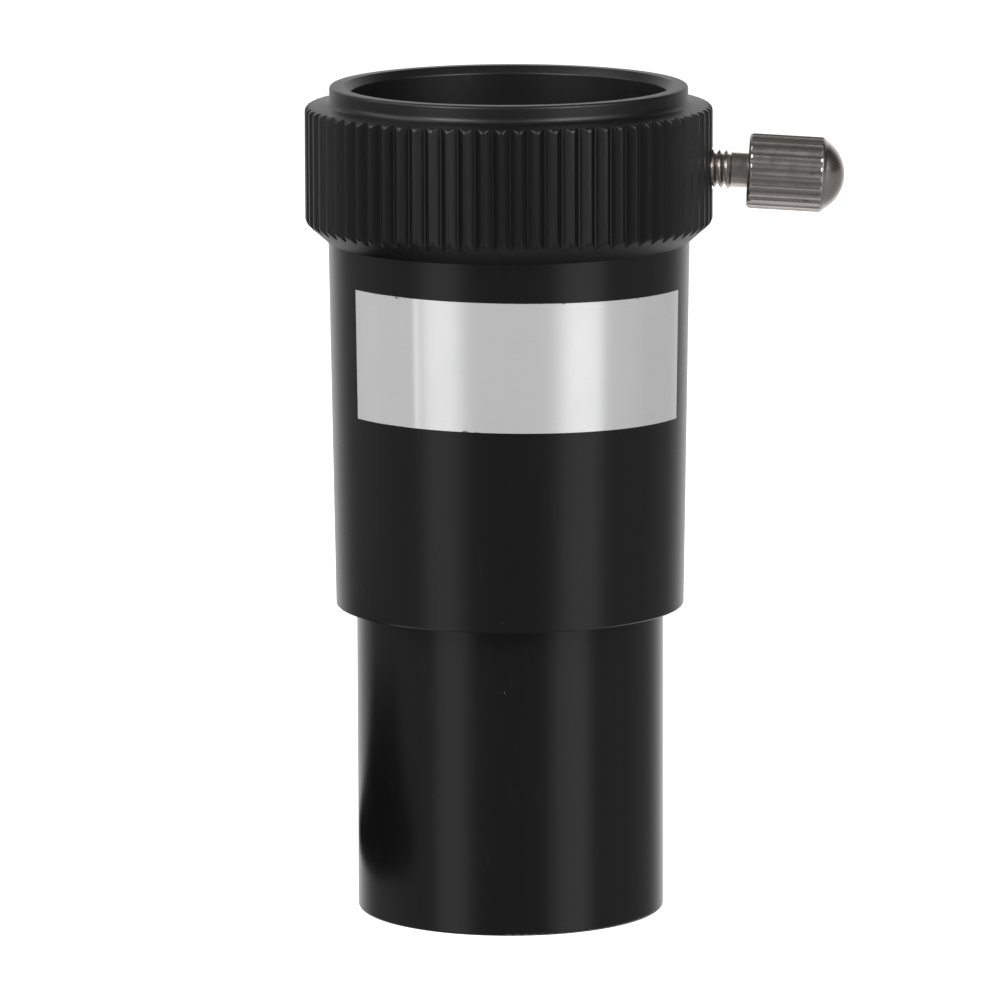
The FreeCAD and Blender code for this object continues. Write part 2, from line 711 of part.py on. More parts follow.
PIECES = [nosepiece_barrel, body_tube, eyepiece_collar, thumbscrew, thumbscrew_tip, thread_bush,
          crown_lens, flint_lens, lens_cell, retaining_ring, baffle_ring, label_foil]


def check(doc, pieces):
    """Stop unless every object recomputed and every piece is one valid solid."""
    for item in doc.Objects:
        if {"Invalid", "Error"} & set(item.State):
            raise ValueError(f"{item.Name} didn't recompute: {item.State}")
    for piece in pieces:
        if piece.Shape.isNull() or not piece.Shape.isValid() or len(piece.Shape.Solids) != 1:
            raise ValueError(f"{piece.Label} isn't one valid solid")


def main():
    doc = FreeCAD.newDocument("BarlowLens")
    dims = Dimensions(doc)
    pieces = [make(doc, dims) for make in PIECES]
    doc.recompute()
    check(doc, pieces)
    os.makedirs("parts", exist_ok=True)
    for piece in pieces:
        box = piece.Shape.BoundBox
        print(f"{piece.Label}: {piece.Shape.Volume:.1f} mm3, z {box.ZMin:.2f} to {box.ZMax:.2f}")
        piece.Shape.exportStep(f"parts/{piece.Label}.step")


main()
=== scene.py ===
"""Barlow lens for 31.75 mm telescope eyepieces: the looks of its pieces, a studio and a camera.

Every length is in metres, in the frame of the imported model: +Z up the optical axis from the foot,
+X towards the thumbscrew, and the foil label on the -Y side.
"""

import logging
import math
from collections.abc import Callable
from dataclasses import dataclass, field
from enum import Enum
from typing import Any

import bpy
from mathutils import Matrix, Vector


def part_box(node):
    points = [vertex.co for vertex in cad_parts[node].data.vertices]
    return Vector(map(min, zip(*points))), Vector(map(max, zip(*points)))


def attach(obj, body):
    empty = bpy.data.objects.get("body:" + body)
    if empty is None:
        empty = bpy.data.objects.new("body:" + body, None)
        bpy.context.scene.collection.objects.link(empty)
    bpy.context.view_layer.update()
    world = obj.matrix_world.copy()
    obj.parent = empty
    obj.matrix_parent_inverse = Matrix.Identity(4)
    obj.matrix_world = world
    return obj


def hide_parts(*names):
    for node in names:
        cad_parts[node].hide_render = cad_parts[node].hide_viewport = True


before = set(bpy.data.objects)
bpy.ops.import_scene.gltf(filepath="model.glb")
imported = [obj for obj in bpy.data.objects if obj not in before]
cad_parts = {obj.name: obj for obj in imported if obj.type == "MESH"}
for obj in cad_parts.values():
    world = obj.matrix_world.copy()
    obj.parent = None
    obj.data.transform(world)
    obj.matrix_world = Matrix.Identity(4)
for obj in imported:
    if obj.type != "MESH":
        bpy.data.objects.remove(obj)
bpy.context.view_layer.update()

log = logging.getLogger("barlow_lens")

MM = 0.001
MERGE = 2e-6  # vertices nearer than this are one
SCREW_AT = (0.0209, 0.0, 0.07713)  # where the thumbscrew's axis leaves the grip
SCREW_DROOP = math.radians(3.3)  # how far that axis hangs below level
Colour = tuple[float, float, float]
WHITE = (1.0, 1.0, 1.0, 1.0)


class Body(Enum):
    """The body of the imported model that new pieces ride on."""

    HOUSING = "housing"


class Slot(Enum):
    """The record's material slots, by name; no piece here is given one."""

    PLASTIC = "black_plastic"
    FOIL = "foil"


class Pick(Enum):
    """What a selection in edit mode is made of."""

    VERTICES = "VERT"
    FACES = "FACE"


# Shader maths -----------------------------------------------------------------------------------


class Amount:
    """One number that varies over a surface: a socket, on which operators add Math nodes."""

    def __init__(self, graph: "Graph", socket: bpy.types.NodeSocket) -> None:
        """Wrap a socket.

        Args:
            graph: The node tree that the socket is in.
            socket: An output socket that holds a number.
        """
        self.graph = graph
        self.socket = socket

    def math(self, operation: str, *others: "Amount | float") -> "Amount":
        """Put this number first into a Math node, before the others."""
        return self.graph.math(operation, self, *others)

    def __add__(self, other: "Amount | float") -> "Amount":
        """Sum."""
        return self.math("ADD", other)

    __radd__ = __add__

    def __mul__(self, other: "Amount | float") -> "Amount":
        """Product."""
        return self.math("MULTIPLY", other)

    def __sub__(self, other: "Amount | float") -> "Amount":
        """Difference."""
        return self.math("SUBTRACT", other)

    def __rsub__(self, other: "Amount | float") -> "Amount":
        """Difference with this number taken away."""
        return self.graph.math("SUBTRACT", other, self)

    def __truediv__(self, other: "Amount | float") -> "Amount":
        """Quotient."""
        return self.math("DIVIDE", other)

    def __neg__(self) -> "Amount":
        """The same number with its sign turned."""
        return self.math("MULTIPLY", -1.0)

    def __abs__(self) -> "Amount":
        """The number without its sign."""
        return self.math("ABSOLUTE")

    def rise(self, low: float, high: float) -> "Amount":
        """Smooth step up.

        Args:
            low: Where it is still 0.
            high: Where it reaches 1.

        Returns:
            A number from 0 to 1.
        """
        node = self.graph.node(
            "ShaderNodeMapRange",
            {"interpolation_type": "SMOOTHSTEP"},
            {"Value": self, "From Min": low, "From Max": high},
        )
        return Amount(self.graph, node.outputs["Result"])

    def plateau(self, low: float, high: float, edge: float) -> "Amount":
        """1 from low to high, with a smooth ramp as wide as the edge at each side."""
        return self.rise(low - edge, low) * (1 - self.rise(high, high + edge))


class Graph:
    """The node tree of one material or of the world."""

    def __init__(self, tree: bpy.types.NodeTree) -> None:
        """Empty the tree.

        Args:
            tree: The tree to fill.
        """
        self.tree = tree
        tree.nodes.clear()

    def node(
        self, kind: str, settings: dict[str, Any] | None = None, sockets: dict[str | int, Any] | None = None
    ) -> bpy.types.Node:
        """Add a node.

        Args:
            kind: The node's type.
            settings: Its own properties.
            sockets: Values or links of its inputs, by name or number.

        Returns:
            The node.
        """
        made = self.tree.nodes.new(kind)
        for name, value in (settings or {}).items():
            setattr(made, name, value)
        for name, value in (sockets or {}).items():
            target = made.inputs[name]
            if isinstance(value, Amount):
                self.tree.links.new(value.socket, target)
            elif isinstance(value, bpy.types.NodeSocket):
                self.tree.links.new(value, target)
            else:
                target.default_value = value
        return made

    def math(self, operation: str, *inputs: Amount | float) -> Amount:
        """Add a Math node with these inputs and take its result."""
        node = self.node("ShaderNodeMath", {"operation": operation}, dict(enumerate(inputs)))
        return Amount(self, node.outputs[0])

    def ray(self, *kinds: str) -> Amount:
        """Tell by kind which rays look.

        Args:
            kinds: Names of the Light Path node's outputs.

        Returns:
            1 for a ray of one of these kinds and 0 for others.
        """
        path = self.node("ShaderNodeLightPath")
        first, *others = (Amount(self, path.outputs[kind]) for kind in kinds)
        return sum(others, first)

    def coordinates(self) -> bpy.types.NodeSocket:
        """The piece's own Object coordinates."""
        return self.node("ShaderNodeTexCoord").outputs["Object"]

    def split(self, vector: bpy.types.NodeSocket) -> tuple[Amount, Amount, Amount]:
        """The x, y and z of a vector."""
        node = self.node("ShaderNodeSeparateXYZ", {}, {0: vector})
        return tuple(Amount(self, node.outputs[axis]) for axis in range(3))

    def placed(
        self,
        vector: bpy.types.NodeSocket,
        scale: tuple[float, float, float] = (1.0, 1.0, 1.0),
        turn: tuple[float, float, float] = (0.0, 0.0, 0.0),
        shift: tuple[float, float, float] = (0.0, 0.0, 0.0),
    ) -> bpy.types.NodeSocket:
        """Move a pattern on its piece.

        Args:
            vector: Coordinates before.
            scale: Stretch along each axis.
            turn: Rotation in radians.
            shift: Offset, after the other two.

        Returns:
            Coordinates after.
        """
        node = self.node(
            "ShaderNodeMapping",
            {"vector_type": "POINT"},
            {"Vector": vector, "Location": shift, "Rotation": turn, "Scale": scale},
        )
        return node.outputs["Vector"]

    def noise(
        self, vector: bpy.types.NodeSocket, grain: float, detail: float = 2.0, rough: float = 0.5
    ) -> Amount:
        """Cloudy noise.

        Args:
            vector: Coordinates.
            grain: Size of its largest features, in the coordinates' unit.
            detail: Octaves.
            rough: How strong the finer octaves are.

        Returns:
            A number around 0.5.
        """
        node = self.node(
            "ShaderNodeTexNoise",
            {"noise_dimensions": "3D"},
            {"Vector": vector, "Scale": 1.0 / grain, "Detail": detail, "Roughness": rough},
        )
        return Amount(self, node.outputs[0])

    def specks(self, vector: bpy.types.NodeSocket, spacing: float, radius: float, share: float) -> Amount:
        """Scattered round specks.

        Args:
            vector: Coordinates.
            spacing: Mean distance between cells.
            radius: Radius of a speck.
            share: Share of the cells that hold one.

        Returns:
            1 in a speck and 0 outside.
        """
        cells = self.node(
            "ShaderNodeTexVoronoi",
            {"voronoi_dimensions": "3D", "feature": "F1"},
            {"Vector": vector, "Scale": 1.0 / spacing, "Randomness": 1.0},
        )
        distance = Amount(self, cells.outputs["Distance"])
        chance, size, _ = self.split(cells.outputs["Color"])
        reach = (0.35 + size * 0.65) * (radius / spacing)
        inside = 1 - (distance / reach).rise(0.6, 1.0)
        return inside * chance.math("GREATER_THAN", 1.0 - share)

    def blend(
        self, factor: Amount, low: Colour | bpy.types.NodeSocket, high: Colour
    ) -> bpy.types.NodeSocket:
        """Mix two colours.

        Args:
            factor: Share of the second colour.
            low: First colour.
            high: Second colour.

        Returns:
            The mixed colour.
        """
        first = (*low, 1.0) if isinstance(low, tuple) else low
        node = self.node(
            "ShaderNodeMix",
            {"data_type": "RGBA", "clamp_factor": True},
            {0: factor, 6: first, 7: (*high, 1.0)},
        )
        return node.outputs[2]

    def relief(self, height: Amount, depth: float) -> bpy.types.NodeSocket:
        """Surface relief from a height.

        Args:
            height: Height from 0 to 1.
            depth: What 1 stands for.

        Returns:
            A normal.
        """
        node = self.node("ShaderNodeBump", {}, {"Strength": 1.0, "Distance": depth, "Height": height})
        return node.outputs["Normal"]

    def surface(self, **sockets: Any) -> None:
        """End the tree in a Principled BSDF.

        Args:
            sockets: Its inputs, with _ for a space.
        """
        named = {name.replace("_", " "): value for name, value in sockets.items()}
        shader = self.node("ShaderNodeBsdfPrincipled", {}, named)
        self.node("ShaderNodeOutputMaterial", {}, {"Surface": shader.outputs[0]})


def new_material(name: str) -> tuple[bpy.types.Material, Graph]:
    """Make an empty material.

    Args:
        name: Its name.

    Returns:
        The material and its node tree.
    """
    material = bpy.data.materials.new(name)
    material.use_nodes = True
    return material, Graph(material.node_tree)


# Finishes ---------------------------------------------------------------------------------------


@dataclass(frozen=True)
class MouldedPlastic:
    """Black ABS with a faint grain, uneven gloss, dust and rub marks."""

    name: str
    colour: Colour = (0.0042, 0.0041, 0.0043)
    rubbed: Colour = (0.011, 0.0108, 0.0108)
    dust: Colour = (0.32, 0.31, 0.30)
    roughness: float = 0.25
    unevenness: float = 0.06
    specular: float = 0.5
    grain: float = 0.00022
    grain_depth: float = 1.2e-6
    dust_share: float = 0.10
    draw_lines: float = 0.0
    cloud_size: float = 0.011
    rub_size: float = 0.0016
    line_width: float = 0.00018
    dust_spacing: float = 0.0021
    dust_radius: float = 0.00009

    def material(self) -> bpy.types.Material:
        """Build the material."""
        material, graph = new_material(self.name)
        place = graph.coordinates()
        cloud = graph.noise(place, self.cloud_size, 3.0, 0.55)
        fine = graph.noise(place, self.grain, 2.0, 0.6)
        upright = graph.placed(place, (1.0, 1.0, 0.35))
        rub = graph.noise(upright, self.rub_size, 4.0, 0.65).rise(0.60, 0.80)
        speck = graph.specks(place, self.dust_spacing, self.dust_radius, self.dust_share)
        drawn = graph.noise(graph.placed(place, (1.0, 1.0, 0.02)), self.line_width)
        tint = graph.blend(rub * 0.45 + fine * 0.12, self.colour, self.rubbed)
        colour = graph.blend(speck * 0.85, tint, self.dust)
        roughness = (
            self.roughness
            + (cloud - 0.5) * self.unevenness
            + (fine - 0.5) * 0.05
            + rub * 0.05
            + speck * 0.25
        )
        height = fine + drawn * self.draw_lines + speck * 3.0
        graph.surface(
            Base_Color=colour,
            Roughness=roughness,
            Normal=graph.relief(height, self.grain_depth),
            Specular_IOR_Level=self.specular,
        )
        return material


@dataclass(frozen=True)
class MatteBlack:
    """Blackened aluminium with rings from turning."""

    name: str
    colour: Colour = (0.006, 0.006, 0.0065)
    worn: Colour = (0.035, 0.034, 0.033)
    roughness: float = 0.55
    ring_pitch: float = 0.00012
    ring_depth: float = 2.5e-6
    wear_size: float = 0.0009
    cloud_size: float = 0.004

    def material(self) -> bpy.types.Material:
        """Build the material."""
        material, graph = new_material(self.name)
        place = graph.coordinates()
        x, y, z = graph.split(place)
        radius = (x * x + y * y).math("SQRT")
        rings = ((radius + z) * (math.tau / self.ring_pitch)).math("SINE") * 0.5 + 0.5
        wear = graph.noise(place, self.wear_size, 4.0, 0.7).rise(0.62, 0.8)
        graph.surface(
            Base_Color=graph.blend(wear * 0.5, self.colour, self.worn),
            Roughness=self.roughness + (graph.noise(place, self.cloud_size) - 0.5) * 0.2,
            Normal=graph.relief(rings, self.ring_depth),
            Specular_IOR_Level=0.4,
        )
        return material


@dataclass(frozen=True)
class NickelPlate:
    """Satin nickel plate, cloudy, with random stains and painted shade darkening the knurl's grooves."""

    name: str
    colour: Colour = (0.56, 0.52, 0.49)
    stain_and_shade: Colour = (0.16, 0.14, 0.13)
    roughness: float = 0.27
    head_start: float = 0.0037
    head_end: float = 0.0111
    head_edge: float = 0.0002
    head_radius: float = 0.00386
    groove_depth: float = 0.00011
    flank_between: tuple[float, float] = (0.0034, 0.0036)
    cloud_size: float = 0.0012
    pit_size: float = 0.00013
    pit_depth: float = 3.0e-6
    stain_size: float = 0.0005

    def material(self) -> bpy.types.Material:
        """Build the material."""
        material, graph = new_material(self.name)
        place = graph.coordinates()
        sine, cosine = math.sin(SCREW_DROOP), math.cos(SCREW_DROOP)
        x, y, z = graph.split(graph.placed(place, shift=tuple(-value for value in SCREW_AT)))
        across = x * sine + z * cosine
        along = x * cosine - z * sine
        radius = (across * across + y * y).math("SQRT")
        # Painted shade: this mask is 1 down in the knurl's grooves, and the colour is darkened there as if
        # shade fell in them.
        low = 1 - radius.rise(self.head_radius - self.groove_depth, self.head_radius)
        on_head = along.plateau(self.head_start, self.head_end, self.head_edge)
        groove_shade = low * on_head * radius.rise(*self.flank_between)
        cloud = graph.noise(place, self.cloud_size, 4.0, 0.6)
        pits = graph.noise(place, self.pit_size, 2.0, 0.6)
        drawn_out = graph.placed(place, (0.35, 1.0, 1.0))
        stain = graph.noise(drawn_out, self.stain_size, 4.0, 0.7).rise(0.52, 0.72)
        # The dark colour carries random stains and the painted groove shade, which the stains mottle.
        stains_and_groove_shade = groove_shade * (0.30 + stain * 0.5) + stain * 0.22
        graph.surface(
            Base_Color=graph.blend(stains_and_groove_shade, self.colour, self.stain_and_shade),
            Metallic=1.0,
            Roughness=self.roughness + (cloud - 0.5) * 0.16 + (pits - 0.5) * 0.10 + stains_and_groove_shade * 0.15,
            Normal=graph.relief(pits + cloud * 0.6, self.pit_depth),
        )
        return material


@dataclass(frozen=True)
class FoilFace:
    """Silvered label foil: a soft metal sheen with faint rolling lines."""

    name: str
    colour: Colour = (0.95, 0.95, 0.955)
    dull: Colour = (0.84, 0.84, 0.85)
    roughness: float = 0.2
    metallic: float = 0.56
    line_width: float = 0.0012
    grain: float = 0.00014
    grain_depth: float = 1.2e-6
    smudge_size: float = 0.006

    def material(self) -> bpy.types.Material:
        """Build the material."""
        material, graph = new_material(self.name)
        place = graph.coordinates()
        rolled = graph.noise(graph.placed(place, (1.0, 1.0, 6.0)), self.line_width, 3.0, 0.6)
        fine = graph.noise(place, self.grain, 2.0, 0.6)
        smudge = graph.noise(place, self.smudge_size, 3.0)
        graph.surface(
            Base_Color=graph.blend((smudge - 0.35) * 0.8 + (rolled - 0.5) * 0.5, self.colour, self.dull),
            Metallic=self.metallic,
            Roughness=self.roughness + (rolled - 0.5) * 0.10 + (smudge - 0.5) * 0.06,
            Normal=graph.relief(rolled * 0.5 + fine, self.grain_depth),
        )
        return material


@dataclass(frozen=True)
class TurnedBrass:
    """Brass with fine rings from turning and a little tarnish."""

    name: str
    colour: Colour = (0.70, 0.48, 0.20)
    tarnish: Colour = (0.26, 0.17, 0.08)
    roughness: float = 0.28
    ring_pitch: float = 0.00009
    ring_depth: float = 2.0e-6
    stain_size: float = 0.0009

    def material(self) -> bpy.types.Material:
        """Build the material."""
        material, graph = new_material(self.name)
        place = graph.coordinates()
        x, _, _ = graph.split(place)
        rings = (x * (math.tau / self.ring_pitch)).math("SINE") * 0.5 + 0.5
        stain = graph.noise(place, self.stain_size, 4.0, 0.65).rise(0.45, 0.75)
        graph.surface(
            Base_Color=graph.blend(stain * 0.6, self.colour, self.tarnish),
            Metallic=1.0,
            Roughness=self.roughness + stain * 0.2,
            Normal=graph.relief(rings, self.ring_depth),
        )
        return material


@dataclass(frozen=True)
class Nylon:
    """Milky nylon, a little cloudy, with marks on the pad."""

    name: str
    colour: Colour = (0.66, 0.64, 0.58)
    marked: Colour = (0.36, 0.34, 0.30)
    roughness: float = 0.42
    cloud_size: float = 0.0009
    grain: float = 0.00015
    grain_depth: float = 2.0e-6

    def material(self) -> bpy.types.Material:
        """Build the material."""
        material, graph = new_material(self.name)
        place = graph.coordinates()
        cloud = graph.noise(place, self.cloud_size, 3.0, 0.6)
        graph.surface(
            Base_Color=graph.blend(cloud.rise(0.5, 0.8), self.colour, self.marked),
            Roughness=self.roughness + (cloud - 0.5) * 0.2,
            Normal=graph.relief(graph.noise(place, self.grain), self.grain_depth),
            Subsurface_Weight=0.15,
            Subsurface_Scale=0.0006,
        )
        return material


@dataclass(frozen=True)
class CoatedGlass:
    """Lens glass with a faint bluish green coating and a few dust specks."""

    name: str
    colour: Colour = (0.93, 0.975, 0.965)
    dust: Colour = (0.55, 0.55, 0.55)
    coating: Colour = (0.75, 1.0, 0.92)
    index: float = 1.52
    dust_spacing: float = 0.0016
    dust_radius: float = 0.00005
    dust_share: float = 0.12
    haze_size: float = 0.004

    def material(self) -> bpy.types.Material:
        """Build the material."""
        material, graph = new_material(self.name)
        place = graph.coordinates()
        speck = graph.specks(place, self.dust_spacing, self.dust_radius, self.dust_share)
        haze = graph.noise(place, self.haze_size, 3.0, 0.6)
        graph.surface(
            Base_Color=graph.blend(speck, self.colour, self.dust),
            Roughness=0.015 + haze * 0.02 + speck * 0.4,
            IOR=self.index,
            Transmission_Weight=0.96,
            Specular_Tint=(*self.coating, 1.0),
        )
        return material


# Modelling --------------------------------------------------------------------------------------


def deselect() -> None:
    """Leave nothing selected."""
    bpy.ops.object.select_all(action="DESELECT")


def choose(test: Callable[[Vector], bool], kind: Pick = Pick.VERTICES) -> None:
    """Select what lies where a test says, in edit mode.

    Args:
        test: Tells from a vertex's or a centre's place whether it is chosen.
        kind: What is selected.
    """
    piece = bpy.context.edit_object
    bpy.ops.mesh.select_mode(type=kind.value)
    bpy.ops.mesh.select_all(action="DESELECT")
    bpy.ops.object.mode_set(mode="OBJECT")
    mesh = piece.data
    if kind is Pick.VERTICES:
        for vertex in mesh.vertices:
            vertex.select = test(vertex.co)
    else:
        for face in mesh.polygons:
            face.select = test(face.center)
    bpy.ops.object.mode_set(mode="EDIT")


def arc(before: Vector, corner: Vector, after: Vector, radius: float, steps: int) -> list[Vector]:
    """Round a corner of an outline.

    Args:
        before: The outline's corner before it.
        corner: The corner to round.
        after: The outline's corner after it.
        radius: Radius of the rounding.
        steps: Straight steps along it.

    Returns:
        Points from one side of the corner to the other.
    """
    back, ahead = (before - corner).normalized(), (after - corner).normalized()
    half = back.angle(ahead) / 2
    centre = corner + (back + ahead).normalized() * (radius / math.sin(half))
    first = corner + back * (radius / math.tan(half)) - centre
    last = corner + ahead * (radius / math.tan(half)) - centre
    sweep = math.copysign(math.pi - 2 * half, first.x * last.y - first.y * last.x)
    turns = [Matrix.Rotation(sweep * step / steps, 2) for step in range(steps + 1)]
    return [centre + turn @ first for turn in turns]


def outline(corners: list[tuple[float, float, float]], steps: int) -> list[Vector]:
    """Draw the closed outline of a turned piece.

    Args:
        corners: Radius, height and rounding of each corner.
        steps: Straight steps along a rounding.

    Returns:
        Points of (radius, height), without the first one repeated.
    """
    places = [Vector((radius, height)) for radius, height, _ in corners]
    points = []
    for index, (_, _, rounding) in enumerate(corners):
        after = places[(index + 1) % len(places)]
        if rounding > 0:
            points += arc(places[index - 1], places[index], after, rounding, steps)
        else:
            points.append(places[index])
    return points


def turned_sector(name: str, points: list[Vector], columns: int, copies: int) -> bpy.types.Object:
    """Start a turned piece as one sector, drawn along its outline from a short arc.

    Args:
        name: Name of the piece.
        points: Its closed outline.
        columns: Faces across the sector, an even number.
        copies: Sectors that make up the whole turn.

    Returns:
        The sector about +X, in edit mode and still open at its two sides.
    """
    deselect()
    bpy.ops.mesh.primitive_circle_add(
        vertices=columns * copies, radius=points[0].x, fill_type="NOTHING", location=(0.0, 0.0, points[0].y)
    )
    piece = bpy.context.active_object
    piece.name = name
    bpy.ops.object.transform_apply(location=True)
    bpy.ops.object.mode_set(mode="EDIT")
    reach = math.pi / copies + 0.1 * math.tau / (columns * copies)
    choose(lambda place: abs(math.atan2(place.y, place.x)) > reach)
    bpy.ops.mesh.delete(type="VERT")
    bpy.ops.mesh.select_all(action="SELECT")
    for here, there in zip(points, points[1:] + points[:1]):
        bpy.ops.mesh.extrude_edges_move(TRANSFORM_OT_translate={"value": (0.0, 0.0, there.y - here.y)})
        share = there.x / here.x
        bpy.ops.transform.resize(value=(share, share, 1.0), center_override=(0.0, 0.0, 0.0))
    bpy.ops.mesh.select_all(action="SELECT")
    bpy.ops.mesh.remove_doubles(threshold=MERGE)
    return piece


def spin_round(copies: int) -> None:
    """Repeat a sector round the axis and weld the copies into one closed shell.

    Args:
        copies: Sectors in the whole turn.
    """
    bpy.ops.mesh.select_all(action="SELECT")
    bpy.ops.mesh.spin(
        steps=copies - 1,
        dupli=True,
        angle=math.tau * (copies - 1) / copies,
        center=(0.0, 0.0, 0.0),
        axis=(0.0, 0.0, 1.0),
    )
    bpy.ops.mesh.select_all(action="SELECT")
    bpy.ops.mesh.remove_doubles(threshold=MERGE)
    bpy.ops.mesh.normals_make_consistent(inside=False)


def cut_away(piece: bpy.types.Object, cutter: bpy.types.Object) -> None:
    """Take a cutter's shape out of a piece and throw the cutter away.

    Args:
        piece: What is cut.
        cutter: Closed shape that is lost.
    """
    deselect()
    bpy.context.view_layer.objects.active = piece
    piece.select_set(True)
    bpy.ops.object.modifier_add(type="BOOLEAN")
    modifier = piece.modifiers[-1]
    modifier.operation, modifier.solver, modifier.object = "DIFFERENCE", "EXACT", cutter
    bpy.ops.object.modifier_apply(modifier=modifier.name)
    deselect()
    cutter.select_set(True)
    bpy.ops.object.delete()


def finish_piece(
    piece: bpy.types.Object, body: Body, material: bpy.types.Material, smooth_angle: float
) -> None:
    """Smooth a new piece, dress it and let it ride.

    Args:
        piece: The piece, in place in its mesh.
        body: What it moves with.
        material: Its finish.
        smooth_angle: Edges sharper than this, in degrees, stay sharp.
    """
    deselect()
    piece.select_set(True)
    bpy.context.view_layer.objects.active = piece
    bpy.ops.object.transform_apply(location=True, rotation=True, scale=True)
    bpy.ops.object.shade_smooth_by_angle(angle=math.radians(smooth_angle))
    piece.data.materials.clear()
    piece.data.materials.append(material)
    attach(piece, body.value)
    report(piece)


def dress_node(name: str, material: bpy.types.Material) -> None:
    """Give a CAD node its finish.

    Args:
        name: The node.
        material: Its finish.
    """
    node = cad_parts[name]
    for index in range(len(node.material_slots)):
        node.material_slots[index].material = material
    report(node)


def report(piece: bpy.types.Object) -> None:
    """Log one piece.

    Args:
        piece: What was finished.
    """
    low, high = (Vector(piece.bound_box[corner]) for corner in (0, 6))
    size = (high - low) / MM
    log.info("%s: %d faces, %.1f x %.1f x %.1f mm", piece.name, len(piece.data.polygons), *size)


# Sub-assemblies ---------------------------------------------------------------------------------


@dataclass(frozen=True)
class Crease:
    """An upright ridge or dip in the label: azimuth in degrees, lift outwards, spread."""

    azimuth: float
    lift: float
    spread: float


@dataclass(frozen=True)
class Nick:
    """A small step in an edge of the label: azimuth in degrees, 1 above or -1 below, shift up."""

    azimuth: float
    side: float
    shift: float


